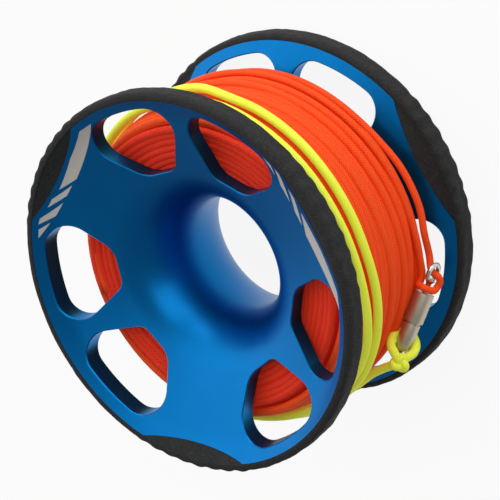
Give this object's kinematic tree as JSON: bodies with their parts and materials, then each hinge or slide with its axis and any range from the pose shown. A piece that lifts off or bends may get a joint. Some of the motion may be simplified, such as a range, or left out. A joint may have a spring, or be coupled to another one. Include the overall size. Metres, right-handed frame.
{
  "type": "finger spool",
  "caption": "Dished, windowed metal finger spool with rubber rims, wound with diving line that a keeper cord holds and a small sprung snap ends.",
  "frame": {"origin": "centre of the rear flange's face, on the spool's axis, on the surface that the spool lies on", "axes": "+Z is the spool's axis, from the rear flange to the front one; +X points from the axis to the snap's eye"},
  "size_m": [0.1036, 0.1036, 0.06],
  "materials": {
    "blue_aluminium": "satin blue anodising",
    "black_rubber": "grained matte rubber",
    "orange_line": "braided line",
    "yellow_cord": "smooth elastic cord",
    "satin_steel": "blasted stainless steel",
    "bright_steel": "polished stainless steel"
  },
  "bodies": {
    "spool": {"spool_body": "blue_aluminium", "front_grip": "black_rubber", "rear_grip": "black_rubber", "line_core": "orange_line", "line_winding": "orange_line", "line_tail": "orange_line", "keeper_cord": "yellow_cord", "keeper_loop": "yellow_cord", "keeper_knot": "yellow_cord", "snap_eye": "bright_steel"},
    "snap_sleeve": {"snap_body": "satin_steel", "snap_spring": "bright_steel"},
    "bolt": {"snap_bolt": "satin_steel"}
  },
  "joints": [
    {"name": "snap_swivel", "type": "hinge", "parent": "spool", "child": "snap_sleeve", "pos_m": [0.04795, -0.0005, 0.01499], "axis": [-0.1614, -0.897, 0.4115], "range_deg": [-5, 60]},
    {"name": "bolt_slide", "type": "slide", "parent": "snap_sleeve", "child": "bolt", "axis": [0.1614, 0.897, -0.4115], "range_m": [0, 0.0028], "stiffness_N_per_m": 400, "springref_m": -0.002, "deforming": ["snap_spring"]}
  ]
}
